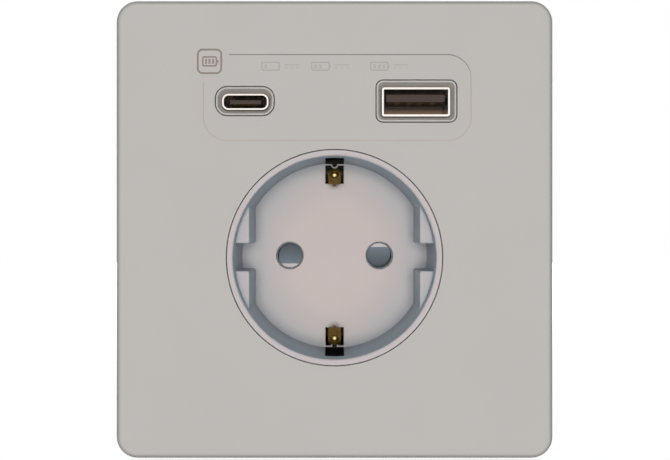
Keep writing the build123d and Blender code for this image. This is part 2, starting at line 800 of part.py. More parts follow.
def carrier_screws():
    """Countersunk screws from behind the frame into the carrier's pillars."""
    shank = Solid.make_cylinder(carrier_screw_r, carrier_screw_length)
    slot = Box(2 * carrier_screw_head_r, screw_slot_width, screw_slot_depth)
    screw = shank + countersink() - slot
    screw = Plane(origin=(pillar_x, frame_back_y, port_height), z_dir=(0, -1, 0)) * screw
    return both_sides(screw)


def usb_carrier():
    """Moulding behind the plate: a flush collar round each port, pillars to the frame, board pegs."""
    width = 2 * (pillar_x + pillar_r + carrier_rim)
    height = carrier_top_z - carrier_low_z
    sheet = Pos(0, carrier_low_z + height / 2) * RectangleRounded(width, height, carrier_corner)
    body = slab(sheet, carrier_front_y, carrier_back_y)
    collars = [usb_c_collar(), usb_a_collar()]
    for collar in collars:
        body += slab(collar, face_y, carrier_front_y + bond)
    body = round_front_edges(body, seam_round, collars)
    pockets = [usb_c_collar(-usb_collar_ring), usb_a_collar(-usb_collar_ring)]
    ports = [usb_c_outline(usb_clearance), usb_a_outline(usb_clearance)]
    for pocket, port in zip(pockets, ports):
        body -= loft([front(face_y) * pocket, front(face_y + usb_funnel_depth) * port])
        body -= slab(port, face_y, carrier_back_y)
    body = round_front_edges(body, seam_round, pockets)
    for sign in (-1, 1):
        place = Pos(sign * pillar_x, port_height)
        body += slab(place * Circle(pillar_r), carrier_back_y - bond, frame_front_y)
        deep = frame_back_y - carrier_screw_length - bond
        body -= slab(place * Circle(carrier_screw_r + screw_play), deep, frame_front_y)
    for x, z in peg_places():
        place = Pos(x, z)
        body += slab(place * Circle(peg_post_r), carrier_back_y - bond, usb_board_y)
        body += slab(place * Circle(peg_r), usb_board_y - bond, usb_board_back_y)
    return body


def peg_places():
    """Front view places of the pegs that hold the USB board: two low at its ends, one high."""
    end = usb_board_half - peg_inset
    low = usb_board_low_z + peg_rise
    return [(-end, low), (end, low), (usb_chip_place[0], usb_board_top_z - top_peg_drop)]


def usb_board():
    """Board that carries both ports, parallel to the face, held on the carrier's pegs."""
    outline = Pos(0, usb_board_z) * RectangleRounded(2 * usb_board_half, usb_board_height, board_corner)
    for x, z in peg_places():
        outline -= Pos(x, z) * Circle(peg_r + screw_play)
    return slab(outline, usb_board_y, usb_board_back_y)


def usb_shell(outline, wall):
    """Drawn metal shell of a port, from its recessed mouth to the board."""
    return slab(outline(0.0) - outline(-wall), port_y, usb_board_y)


def usb_insert(outline, wall, x, rise, width, height, drop):
    """Plastic insert of a port: a base on the board and the tongue that stands on it."""
    base_y = usb_board_y - usb_base_length
    base = slab(outline(-wall - screw_play), base_y, usb_board_y)
    tongue = Pos(x, port_height + rise) * Rectangle(width, height)
    return base + slab(tongue, port_y + drop, base_y + bond)


def usb_c_tongue():
    size = (usb_c_tongue_width, usb_c_tongue_height, usb_c_tongue_drop)
    return usb_insert(usb_c_outline, usb_c_wall, usb_c_x, 0, *size)


def usb_a_tongue():
    size = (usb_a_tongue_width, usb_a_tongue_height, usb_a_tongue_drop)
    return usb_insert(usb_a_outline, usb_a_wall, usb_a_x, usb_a_tongue_rise, *size)


def contact_strips(places, width, z_low, drop):
    """Row of contact strips on one face of a tongue."""
    y_span = (port_y + drop + contact_setback, usb_board_y - usb_base_length)
    z_span = (z_low, z_low + contact_foil)
    return [block((x - width / 2, x + width / 2), y_span, z_span) for x in places]


def usb_c_contacts():
    first = -(usb_c_contact_count - 1) / 2
    places = [usb_c_x + (first + i) * usb_c_contact_pitch for i in range(usb_c_contact_count)]
    half = usb_c_tongue_height / 2
    upper = contact_strips(places, usb_c_contact_width, port_height + half, usb_c_tongue_drop)
    low = port_height - half - contact_foil
    lower = contact_strips(places, usb_c_contact_width, low, usb_c_tongue_drop)
    return Compound(children=upper + lower)


def usb_a_contacts():
    places = [usb_a_x + place for place in usb_a_contact_places]
    low = port_height + usb_a_tongue_rise - usb_a_tongue_height / 2 - contact_foil
    return Compound(children=contact_strips(places, usb_a_contact_width, low, usb_a_tongue_drop))


def chip():
    """Small chip with a row of legs on two sides, standing on z = 0."""
    width, depth, height = chip_size
    leg = height / 3
    body = Pos(0, 0, (height + leg / 2) / 2) * Box(width, depth, height - leg / 2)
    for side_sign in (-1, 1):
        for i in range(chip_legs):
            x = (i - (chip_legs - 1) / 2) * chip_leg_pitch
            body += Pos(x, side_sign * depth / 2, leg / 2) * Box(leg, 2 * leg, leg)
    return body


def usb_controller():
    x, rise = usb_chip_place
    return Plane(origin=(x, usb_board_y, port_height + rise), x_dir=(1, 0, 0), z_dir=(0, -1, 0)) * chip()


def power_controller():
    x, inset = power_chip_place
    place = (x, power_board_front + inset, power_board_z)
    return Plane(origin=place, x_dir=(1, 0, 0), z_dir=(0, 0, -1)) * chip()


def power_board():
    y_span = (power_board_front, power_board_back)
    return block((-power_board_half, power_board_half), y_span, (power_board_z, power_board_top))


def transformer_core():
    """Ferrite frame with a middle leg, standing on the power board."""
    window = (core_width - core_leg - 2 * core_yoke) / 2
    outline = Rectangle(core_width, core_height)
    for sign in (-1, 1):
        outline -= Pos(sign * (core_leg + window) / 2, 0) * Rectangle(window, core_height - 2 * core_yoke)
    middle_z = power_board_top + core_height / 2
    y_front = transformer_y - core_depth / 2
    return slab(Pos(0, middle_z) * outline, y_front, y_front + core_depth)


def transformer_winding():
    """Wound bobbin round the core's middle leg."""
    window = (core_width - core_leg - 2 * core_yoke) / 2
    height = core_height - 2 * core_yoke - 2 * winding_play
    outer_x = core_leg + 2 * window - 2 * winding_play
    outer_y = core_depth + 2 * winding_build
    outline = RectangleRounded(outer_x, outer_y, winding_build / 2)
    outline -= Rectangle(core_leg + 2 * winding_play, core_depth + 2 * winding_play)
    base_z = power_board_top + core_yoke + winding_play
    return extrude(Pos(0, transformer_y, base_z) * outline, height)


def capacitor(radius, height, x, y):
    """Upright can with a crimped groove near its foot."""
    groove_z = height / 6
    corners = [(0, 0), (radius, 0), (radius, groove_z - capacitor_groove)]
    corners += [(radius - capacitor_groove, groove_z), (radius, groove_z + capacitor_groove)]
    corners += [(radius, height), (0, height)]
    profile = Plane.XZ * make_face(Polyline(*corners, close=True))
    return Pos(x, y, power_board_top) * revolve(profile, Axis.Z)


def input_capacitor():
    x, inset = input_capacitor_place
    return capacitor(input_capacitor_r, input_capacitor_height, x, power_board_front + inset)


def output_capacitor():
    y = power_board_back - output_capacitor_inset
    return capacitor(output_capacitor_r, output_capacitor_height, output_capacitor_x, y)


def bridge_rectifier():
    x, inset = rectifier_place
    width, depth, height = rectifier_size
    leg = height / 4
    body = Pos(0, 0, (height + leg) / 2) * Box(width, depth, height - leg)
    for x_sign in (-1, 1):
        for y_sign in (-1, 1):
            body += Pos(x_sign * width / 4, y_sign * depth / 2, leg) * Box(2 * leg, 2 * leg, 2 * leg)
    return Pos(x, power_board_front + inset, power_board_top) * body


def fuse_resistor():
    """Axial resistor whose wire ends bend down to the power board."""
    x, inset = fuse_place
    y = power_board_front + inset
    z = power_board_top + fuse_r + winding_play
    half = fuse_length / 2
    body = rod(fuse_r, (x - half, y, z), (x + half, y, z))
    end = half + 2 * fuse_r
    points = [(x - end, y, power_board_top), (x - end, y, z), (x + end, y, z), (x + end, y, power_board_top)]
    line = FilletPolyline(*points, radius=2 * fuse_wire_r)
    section = Plane(origin=line @ 0, z_dir=line % 0) * Circle(fuse_wire_r)
    return body + sweep(section, path=line)


def usb_leads():
    """Two low voltage leads from the power board, up and forward through the frame to the USB board."""
    points = [
        (usb_lead_x, usb_lead_y, power_board_top),
        (usb_lead_x, usb_lead_y, lead_rise),
        (usb_lead_x, usb_board_back_y, lead_rise),
    ]
    line = FilletPolyline(*points, radius=lead_bend)
    section = Plane(origin=line @ 0, z_dir=line % 0) * Circle(lead_r)
    return both_sides(sweep(section, path=line))


def mains_leads():
    """Two short leads from the side terminals up to the power board."""
    x = terminal_inner_x + lead_r
    y = terminal_back_y - terminal_length / 2
    return both_sides(rod(lead_r, (x, y, well_z + terminal_height / 2), (x, y, power_board_z)))


os.makedirs("parts", exist_ok=True)

nodes = {
    "front_plate": front_plate(),
    "socket_well": socket_well(),
    "earth_strap": earth_strap(),
    "shutter": shutter(),
    "shutter_spring": shutter_spring(),
    "shutter_keeper": shutter_keeper(),
    "live_contact": mirrored(fork()),
    "neutral_contact": fork(),
    "live_terminal": mirrored(side_terminal()),
    "neutral_terminal": side_terminal(),
    "earth_terminal": earth_terminal(),
    "terminal_screws": terminal_screws(),
    "rear_housing": rear_housing(),
    "frame_screws": frame_screws(),
    "well_screws": well_screws(),
    "support_frame": support_frame(),
    "usb_carrier": usb_carrier(),
    "carrier_screws": carrier_screws(),
    "usb_board": usb_board(),
    "usb_c_shell": usb_shell(usb_c_outline, usb_c_wall),
    "usb_c_tongue": usb_c_tongue(),
    "usb_c_contacts": usb_c_contacts(),
    "usb_a_shell": usb_shell(usb_a_outline, usb_a_wall),
    "usb_a_tongue": usb_a_tongue(),
    "usb_a_contacts": usb_a_contacts(),
    "usb_controller": usb_controller(),
    "power_board": power_board(),
    "transformer_core": transformer_core(),
    "transformer_winding": transformer_winding(),
    "input_capacitor": input_capacitor(),
    "output_capacitor": output_capacitor(),
    "bridge_rectifier": bridge_rectifier(),
    "fuse_resistor": fuse_resistor(),
    "power_controller": power_controller(),
    "usb_leads": usb_leads(),
    "mains_leads": mains_leads(),
}

for name, shape in nodes.items():
    export_step(shape, f"parts/{name}.step")
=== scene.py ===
import json
import math
import bmesh
import bpy
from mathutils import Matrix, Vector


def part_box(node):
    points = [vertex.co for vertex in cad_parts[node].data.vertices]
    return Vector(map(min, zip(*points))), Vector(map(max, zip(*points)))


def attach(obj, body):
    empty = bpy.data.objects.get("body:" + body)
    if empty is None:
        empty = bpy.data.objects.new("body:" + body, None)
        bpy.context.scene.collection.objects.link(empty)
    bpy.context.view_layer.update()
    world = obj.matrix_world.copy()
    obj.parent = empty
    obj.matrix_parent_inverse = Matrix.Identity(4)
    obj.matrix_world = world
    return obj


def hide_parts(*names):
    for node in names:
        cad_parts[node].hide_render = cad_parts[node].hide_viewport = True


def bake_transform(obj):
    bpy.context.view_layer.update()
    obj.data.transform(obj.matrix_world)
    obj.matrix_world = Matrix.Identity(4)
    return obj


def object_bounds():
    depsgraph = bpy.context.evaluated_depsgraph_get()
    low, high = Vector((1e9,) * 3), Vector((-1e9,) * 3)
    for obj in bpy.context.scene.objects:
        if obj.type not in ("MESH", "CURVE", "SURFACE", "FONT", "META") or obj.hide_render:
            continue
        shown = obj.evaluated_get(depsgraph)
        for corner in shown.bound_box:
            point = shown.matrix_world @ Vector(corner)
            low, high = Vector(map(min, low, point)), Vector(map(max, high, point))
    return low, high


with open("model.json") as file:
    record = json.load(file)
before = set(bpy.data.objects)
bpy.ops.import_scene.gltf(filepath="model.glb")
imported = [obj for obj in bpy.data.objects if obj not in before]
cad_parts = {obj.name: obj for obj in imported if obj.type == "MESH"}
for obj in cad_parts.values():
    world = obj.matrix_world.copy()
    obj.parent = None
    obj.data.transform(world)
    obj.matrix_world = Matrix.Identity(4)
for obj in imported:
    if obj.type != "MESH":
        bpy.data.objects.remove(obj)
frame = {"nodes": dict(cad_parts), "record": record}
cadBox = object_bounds()
nodes = frame["nodes"]
mm = 0.001  # the frame is in metres, sizes here are written in millimetres
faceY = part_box("front_plate")[0].y
wellLow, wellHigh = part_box("socket_well")
wellZ = (wellLow.z + wellHigh.z) / 2  # the well's axis, along Y
pinHoles = [mount for mount in frame["record"]["mounts"] if mount["name"].endswith("_pin_hole")]
print("frame loaded:", len(nodes), "nodes")


def linear(code):  # sRGB hex to linear RGBA
    parts = [int(code[i:i + 2], 16) / 255 for i in (1, 3, 5)]
    return tuple(c / 12.92 if c <= 0.04045 else ((c + 0.055) / 1.055) ** 2.4 for c in parts) + (1.0,)


def addNode(tree, kind, inputs=None, **settings):  # one node with its settings, values and links
    node = tree.nodes.new(kind)
    for name, value in settings.items():
        setattr(node, name, value)
    for name, value in (inputs or {}).items():
        if isinstance(value, bpy.types.NodeSocket):
            tree.links.new(value, node.inputs[name])
        else:
            node.inputs[name].default_value = value
    return node


def calc(tree, operation, *values):  # math on numbers or sockets
    return addNode(tree, "ShaderNodeMath", dict(enumerate(values)), operation=operation).outputs[0]


def axes(tree, vector):  # a vector's X, Y and Z
    return addNode(tree, "ShaderNodeSeparateXYZ", {"Vector": vector}).outputs


def share(tree, value, start, end, low=0.0, high=1.0):  # low at the start, high at the end, level beyond
    return addNode(tree, "ShaderNodeMapRange", {
        "Value": value, "From Min": start, "From Max": end, "To Min": low, "To Max": high}).outputs["Result"]


def ramp(tree, value, stops):  # hex colours or grey levels at places from zero to one
    node = addNode(tree, "ShaderNodeValToRGB", {"Fac": value})
    marks = node.color_ramp.elements
    while len(marks) < len(stops):
        marks.new(0.5)  # anywhere, all are placed below
    for mark, (where, tone) in zip(marks, stops):
        mark.position = where
        mark.color = linear(tone) if isinstance(tone, str) else (tone, tone, tone, 1.0)
    return node.outputs["Color"]


def mixed(tree, mask, below, above):  # the colour sockets of a mix are 6, 7 and output 2
    return addNode(tree, "ShaderNodeMix", {"Factor": mask, 6: below, 7: above}, data_type="RGBA").outputs[2]


def newMaterial(name, values):  # principled shader with these values, and its object coordinates
    material = bpy.data.materials.new(name)
    material.use_nodes = True
    tree = material.node_tree
    shader = tree.nodes["Principled BSDF"]
    for socket, value in values.items():
        shader.inputs[socket].default_value = value
    place = addNode(tree, "ShaderNodeTexCoord").outputs["Object"]
    return material, tree, shader, place


def perMetre(sizeMm):  # texture scale for a feature of that size
    return 1 / (sizeMm * mm)


def paint(tree, shader, colour):  # base colour from a socket
    tree.links.new(colour, shader.inputs["Base Color"])


def emboss(tree, shader, height, depthMm):  # bump of that depth
    bump = addNode(tree, "ShaderNodeBump", {"Height": height, "Distance": depthMm * mm})
    tree.links.new(bump.outputs["Normal"], shader.inputs["Normal"])


def grain(tree, shader, place, look):  # fine bump from noise
    noise = addNode(tree, "ShaderNodeTexNoise", {"Vector": place, "Scale": perMetre(look["grainMm"])})
    emboss(tree, shader, noise.outputs["Fac"], look["grainDepthMm"])


patchLook = {"detail": 3.0, "places": (0.3, 0.7)}


def mottle(tree, shader, place, look):  # two near colours in soft patches
    noise = addNode(tree, "ShaderNodeTexNoise", {
        "Vector": place, "Scale": perMetre(look["patchMm"]), "Detail": patchLook["detail"]})
    stops = tuple(zip(patchLook["places"], look["colours"]))
    paint(tree, shader, ramp(tree, noise.outputs["Fac"], stops))


def tint(tree, shader, mask, code):  # lays a colour over the base colour, in full where the mask is one
    base = shader.inputs["Base Color"].links[0].from_socket
    paint(tree, shader, mixed(tree, mask, base, linear(code)))


def slopes(tree, shader, place, code, levels):  # painted shade by facing: tint by how squarely a face looks to the front or back
    facing = calc(tree, "ABSOLUTE", axes(tree, place.node.outputs["Normal"])["Y"])
    tint(tree, shader, ramp(tree, facing, levels), code)


def plainFinish(name, look):  # soft patches and a fine grain, stretched where metal was drawn or rolled
    material, tree, shader, place = newMaterial(name, look["shader"])
    mottle(tree, shader, place, look)
    along = addNode(tree, "ShaderNodeMapping", {
        "Vector": place, "Scale": look.get("stretch", (1.0, 1.0, 1.0))})
    grain(tree, shader, along.outputs["Vector"], look)
    return material, tree, shader, place


plateLook = {"shader": {"Roughness": 0.6, "IOR": 1.585, "Specular IOR Level": 0.02},
             "colours": ("#bebbb6", "#c0bdb8"), "patchMm": 18.0, "grainMm": 0.35, "grainDepthMm": 0.006,
             "edge": "#a3a19c", "edgeSlopes": ((0.15, 0.0), (0.4, 1.0), (0.85, 1.0), (0.995, 0.0))}


def platePolycarbonate():  # even satin, its grain breaks up the gloss; painted shade darkens the rounded edge where it turns from the front
    material, tree, shader, place = plainFinish("moulded_polycarbonate_plate", plateLook)
    # painted shade: faces turned from the front take the darker edge colour
    slopes(tree, shader, place, plateLook["edge"], plateLook["edgeSlopes"])
    return material


collarLook = {"funnel": "#b3aca4", "funnelSlopes": ((0.15, 0.0), (0.35, 1.0), (0.85, 1.0), (0.97, 0.0))}


def collarPolycarbonate():  # the plate's satin, with painted shade darkening the sloped funnels of the ports
    material, tree, shader, place = plainFinish("moulded_polycarbonate_collar", plateLook)
    # painted shade: faces sloping from the front take the darker funnel colour
    slopes(tree, shader, place, collarLook["funnel"], collarLook["funnelSlopes"])
    return material


wellLook = {"shader": {"Roughness": 0.55, "IOR": 1.585, "Specular IOR Level": 0.03},
            "colours": ("#c5bdbc", "#c7bfbe"), "patchMm": 14.0, "grainMm": 0.3, "grainDepthMm": 0.005,
            "wall": "#cad1d0", "wallSlopes": ((0.2, 1.0), (0.8, 0.0)),
            "crease": "#b0b4b9", "creaseMm": 11.0, "creaseSamples": 8, "open": 0.95, "shut": 0.5,
            "behind": "#2a2522", "behindMm": 0.05}


def wellPolycarbonate():  # same resin, smoother tool: satin floor; painted cool shade on the walls, painted shade in the corners and behind the floor
    look = wellLook
    material, tree, shader, place = plainFinish("moulded_polycarbonate_well", look)
    # painted shade: walls turned from the front take a cooler tint
    slopes(tree, shader, place, look["wall"], look["wallSlopes"])
    # painted shade: occluded corners and creases take a darker, cool tint
    near = addNode(tree, "ShaderNodeAmbientOcclusion", {"Distance": look["creaseMm"] * mm},
                   samples=look["creaseSamples"], only_local=True)
    tint(tree, shader, share(tree, near.outputs["AO"], look["open"], look["shut"]), look["crease"])
    floorBack = pinHoles[0]["pos_m"][1] + pinHoles[0]["dims"]["length_mm"] * mm / 2
    behind = calc(tree, "GREATER_THAN", axes(tree, place)["Y"], floorBack - look["behindMm"] * mm)
    tint(tree, shader, behind, look["behind"])  # painted shade: dark behind the floor, where the slots look into the unlit inside
    return material


shutterLook = {"shader": {"Roughness": 0.42, "IOR": 1.48}, "grainMm": 0.4, "grainDepthMm": 0.004,
               "tones": ((0.0, "#b4b6bc"), (0.006, "#b4b6bc"), (0.012, "#7f8d9a"), (1.0, "#515e6b"))}


def acetalShutter():  # moulded acetal, waxy blue grey; painted light and shade: the lands in front pale, the ramps darker the deeper they lie
    material, tree, shader, place = newMaterial("moulded_acetal", shutterLook["shader"])
    front, back = (corner.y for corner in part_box("shutter"))
    depth = share(tree, axes(tree, place)["Y"], front, back)
    # painted shade, growing with depth behind the shutter's front
    paint(tree, shader, ramp(tree, depth, shutterLook["tones"]))
    grain(tree, shader, place, shutterLook)
    return material


brassLook = {"shader": {"Metallic": 1.0, "Roughness": 0.34, "Specular Tint": linear("#f0e6cc")},
             "colours": ("#665220", "#7a6632"), "patchMm": 1.6, "grainMm": 0.12, "grainDepthMm": 0.003,
             "stretch": (1.0, 0.15, 0.15), "pip": (0.0, -5.39, 16.28), "paintedGlintMm": (0.38, 0.19),
             "paintedGlint": "#e8d8a0"}


def brassStrip():  # rolled brass strip, stamped and bent: dull, rolling lines; its dark tone is partly painted shade for the dim reflections in the well; a painted highlight on each pip
    look = brassLook
    material, tree, shader, place = plainFinish("rolled_brass", look)
    spot = axes(tree, place)
    rise = calc(tree, "ABSOLUTE", calc(tree, "SUBTRACT", spot["Z"], wellZ))  # both pips at once
    spot = addNode(tree, "ShaderNodeCombineXYZ", {"X": spot["X"], "Y": spot["Y"], "Z": rise})
    away = addNode(tree, "ShaderNodeVectorMath", {
        0: spot.outputs[0], 1: [c * mm for c in look["pip"]]}, operation="DISTANCE")
    rim, middle = look["paintedGlintMm"]
    # painted highlight: a pale spot on the front of each pip, fading out towards its rim
    tint(tree, shader, share(tree, away.outputs["Value"], rim * mm, middle * mm), look["paintedGlint"])
    return material


galvanisedLook = {"shader": {"Metallic": 1.0}, "spangleMm": 4.5,
                  "tones": ((0.0, "#9da2a6"), (1.0, "#bcc0c2")), "roughness": (0.34, 0.52),
                  "grainMm": 0.4, "grainDepthMm": 0.002}


def galvanisedSheet():  # hot dip galvanised sheet: dull grey with large crystal spangles
    look = galvanisedLook
    material, tree, shader, place = newMaterial("galvanised_steel_sheet", look["shader"])
    cells = addNode(tree, "ShaderNodeTexVoronoi", {"Vector": place, "Scale": perMetre(look["spangleMm"])})
    tone = addNode(tree, "ShaderNodeSeparateColor", {"Color": cells.outputs["Color"]}).outputs
    paint(tree, shader, ramp(tree, tone["Red"], look["tones"]))
    tree.links.new(share(tree, tone["Green"], 0.0, 1.0, *look["roughness"]), shader.inputs["Roughness"])
    grain(tree, shader, place, look)
    return material


portLook = {"shader": {"Roughness": 0.5, "IOR": 1.55, "Specular IOR Level": 0.3}, "tongue": "#382b25",
            "hollow": "#1a120d", "hollowFrom": 0.5, "hollowShort": 1.2,
            "base": "#8c7765", "baseRise": (2.0, 0.6), "grainMm": 0.2, "grainDepthMm": 0.004}


def portInsulator():  # black brown glass filled moulding, satin; painted shade darkens it deep in the port, and painted light makes the base paler low down
    look = portLook
    material, tree, shader, place = newMaterial("moulded_port_insulator", look["shader"])
    low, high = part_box("usb_a_tongue")
    spot = axes(tree, place)
    hollowFrom = low.y + (high.y - low.y) * look["hollowFrom"]
    deep = share(tree, spot["Y"], hollowFrom, high.y - look["hollowShort"] * mm)
    top, foot = (low.z + rise * mm for rise in look["baseRise"])
    under = share(tree, spot["Z"], top, foot)
    # painted shade: darker the deeper inside the port
    paint(tree, shader, mixed(tree, deep, linear(look["tongue"]), linear(look["hollow"])))
    # painted light: paler low on the base
    tint(tree, shader, calc(tree, "MULTIPLY", deep, under), look["base"])
    grain(tree, shader, place, look)
    return material


boardLook = {"shader": {"Roughness": 0.25, "IOR": 1.5}, "mask": "#1d5a33", "copper": "#2f7a45",
             "blockMm": 5.2, "track": 0.03, "trackDepthMm": 0.03}


def solderMask():  # green solder mask over copper tracks: glossy, the tracks show paler and raised
    look = boardLook
    material, tree, shader, place = newMaterial("green_solder_mask", look["shader"])
    tracks = addNode(tree, "ShaderNodeTexBrick", {
        "Vector": place, "Scale": perMetre(look["blockMm"]), "Mortar Size": look["track"],
        "Color1": linear(look["mask"]), "Color2": linear(look["mask"]), "Mortar": linear(look["copper"])})
    paint(tree, shader, tracks.outputs["Color"])
    emboss(tree, shader, tracks.outputs["Fac"], look["trackDepthMm"])
    return material


tapeLook = {"shader": {"Roughness": 0.28, "IOR": 1.6}, "colours": ("#3f2c17", "#4d381f"), "patchMm": 3.0,
            "wrapMm": 2.2, "wavePhase": 20, "ripple": 0.4, "wrapDepthMm": 0.05}


def windingTape():  # brown polyester tape wrapped over the winding: glossy, wrap lines across it
    look = tapeLook
    material, tree, shader, place = newMaterial("brown_polyester_tape", look["shader"])
    mottle(tree, shader, place, look)
    scale = perMetre(look["wrapMm"]) / look["wavePhase"]  # the wave texture's phase runs that much faster
    wraps = addNode(tree, "ShaderNodeTexWave", {
        "Vector": place, "Scale": scale, "Distortion": look["ripple"]}, bands_direction="Z")
    emboss(tree, shader, wraps.outputs["Fac"], look["wrapDepthMm"])
    return material


leadLook = {"shader": {"Roughness": 0.4, "IOR": 1.53}, "left": "#1b1b1d", "right": "#a3201c", "grainMm": 0.4,
            "grainDepthMm": 0.006}


def leadVinyl():  # soft vinyl insulation: the lead on the right red, the other black
    look = leadLook
    material, tree, shader, place = newMaterial("vinyl_lead_insulation", look["shader"])
    right = calc(tree, "GREATER_THAN", axes(tree, place)["X"], 0.0)
    paint(tree, shader, mixed(tree, right, linear(look["left"]), linear(look["right"])))
    grain(tree, shader, place, look)
    return material


finishes = {
    platePolycarbonate: ("front_plate",),
    collarPolycarbonate: ("usb_carrier",),
    wellPolycarbonate: ("socket_well",),
    acetalShutter: ("shutter",),
    brassStrip: ("earth_strap", "live_contact", "neutral_contact", "live_terminal", "neutral_terminal",
                 "earth_terminal"),
    galvanisedSheet: ("support_frame",),
    portInsulator: ("usb_c_tongue", "usb_a_tongue"),
    solderMask: ("usb_board", "power_board"),
    windingTape: ("transformer_winding",),
    leadVinyl: ("usb_leads", "mains_leads"),
}
plainLooks = {
    "flame_retardant_polycarbonate": {  # black glass filled resin: matte, faint grey flow marks
        "on": ("rear_housing",), "shader": {"Roughness": 0.6, "IOR": 1.58},
        "colours": ("#1b1b1d", "#232326"), "patchMm": 9.0, "grainMm": 0.3, "grainDepthMm": 0.012},
    "moulded_polyamide": {  # black polyamide: dull, slightly brown, darkened further as painted shade behind the earth slots
        "on": ("shutter_keeper",), "shader": {"Roughness": 0.58, "IOR": 1.53},
        "colours": ("#100f0e", "#181615"), "patchMm": 6.0, "grainMm": 0.3, "grainDepthMm": 0.008},
    "nickel_plated_steel": {  # drawn steel with bright nickel plate: near white, mirror-like rim
        "on": ("usb_c_shell", "usb_a_shell"), "shader": {"Metallic": 1.0, "Roughness": 0.2},
        "colours": ("#f1ebe4", "#f9f3ec"), "patchMm": 3.0, "grainMm": 0.1, "grainDepthMm": 0.001,
        "stretch": (1.0, 0.2, 1.0)},
    "gold_flashed_contact": {  # thin gold flash on the contact strips: warm; their dark tone is painted shade for their place deep in the port
        "on": ("usb_c_contacts", "usb_a_contacts"), "shader": {"Metallic": 1.0, "Roughness": 0.35},
        "colours": ("#4f3c1a", "#624b22"), "patchMm": 0.8, "grainMm": 0.08, "grainDepthMm": 0.001,
        "stretch": (1.0, 0.2, 1.0)},
    "zinc_plated_steel": {  # zinc plated screws: grey, faintly blue, turned lines
        "on": ("terminal_screws", "frame_screws", "well_screws", "carrier_screws"),
        "shader": {"Metallic": 1.0, "Roughness": 0.38},
        "colours": ("#8d9297", "#a3a8ac"), "patchMm": 1.5, "grainMm": 0.1, "grainDepthMm": 0.002,
        "stretch": (1.0, 1.0, 0.2)},
    "drawn_spring_wire": {  # drawn wire: smooth and bright
        "on": ("shutter_spring",), "shader": {"Metallic": 1.0, "Roughness": 0.28},
        "colours": ("#8f9296", "#a9acb0"), "patchMm": 0.8, "grainMm": 0.05, "grainDepthMm": 0.001},
    "black_chip_epoxy": {  # black moulded chip epoxy: dull, faint grit
        "on": ("usb_controller", "power_controller", "bridge_rectifier"),
        "shader": {"Roughness": 0.6, "IOR": 1.55},
        "colours": ("#17181a", "#1f2022"), "patchMm": 0.8, "grainMm": 0.12, "grainDepthMm": 0.006},
    "sintered_ferrite": {  # ferrite: dark grey, slightly metallic, granular
        "on": ("transformer_core",), "shader": {"Roughness": 0.5, "Metallic": 0.2},
        "colours": ("#2a2b2d", "#37383b"), "patchMm": 0.6, "grainMm": 0.15, "grainDepthMm": 0.01},
    "capacitor_shrink_sleeve": {  # dark blue sleeve shrunk on a can: half glossy
        "on": ("input_capacitor", "output_capacitor"), "shader": {"Roughness": 0.35, "IOR": 1.54},
        "colours": ("#1a2238", "#222b45"), "patchMm": 2.5, "grainMm": 0.5, "grainDepthMm": 0.01},
    "glazed_resistor": {  # glazed fusible resistor: smooth blue green coat
        "on": ("fuse_resistor",), "shader": {"Roughness": 0.3, "IOR": 1.52},
        "colours": ("#3f7480", "#4b8490"), "patchMm": 1.2, "grainMm": 0.5, "grainDepthMm": 0.01},
}


def dress(names, material):  # these nodes have this material alone
    for name in names:
        nodes[name].data.materials.clear()
        nodes[name].data.materials.append(material)


for makeFinish, names in finishes.items():
    dress(names, makeFinish())
for name, look in plainLooks.items():
    dress(look["on"], plainFinish(name, look)[0])
print("finishes set:", len(finishes) + len(plainLooks))


mergeReach = 1e-7  # metres: corners this close are one


def newPiece(name, shape, material):  # object from a finished shape
    mesh = bpy.data.meshes.new(name)
    shape.to_mesh(mesh)
    shape.free()
    mesh.materials.append(material)
    piece = bpy.data.objects.new(name, mesh)
    bpy.context.scene.collection.objects.link(piece)
    return piece


def swept(shape, section, x, z, turns):  # rings of (radius, Y) corners round an axis along Y
    return [[shape.verts.new((x + r * math.cos(turn), y, z + r * math.sin(turn))) for r, y in section]
            for turn in turns]


def skin(shape, before, after):  # faces between two neighbouring rings
    for k in range(len(after)):
        shape.faces.new((before[k - 1], before[k], after[k], after[k - 1]))


taperLook = {"play": 0.01, "lip": 0.03, "narrows": 0.34, "steps": 64}


def pinTapers():  # the pin holes narrow inwards: a wedge ring in each, dark beside the bright floor
    look = taperLook
    turns = [2 * math.pi * i / look["steps"] for i in range(look["steps"])]
    shape = bmesh.new()
    for hole in pinHoles:
        x, y, z = hole["pos_m"]
        half = hole["dims"]["length_mm"] * mm / 2
        outer = (hole["dims"]["r_mm"] - look["play"]) * mm
        section = ((outer, y - half), (outer - look["lip"] * mm, y - half),
                   (outer - look["narrows"] * mm, y + half), (outer, y + half))
        rings = swept(shape, section, x, z, turns)
        for i, ring in enumerate(rings):
            skin(shape, rings[i - 1], ring)
    bmesh.ops.recalc_face_normals(shape, faces=shape.faces)
    piece = newPiece("pin_hole_tapers", shape, nodes["socket_well"].data.materials[0])
    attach(piece, "socket")


pinTapers()
print("pin holes tapered")


guardLook = {"inner": 20.95, "wall": 1.1, "behindFace": 5.45, "reach": 5.4, "middles": (90.0, 270.0),
             "halfTurn": 12.0, "steps": 16}


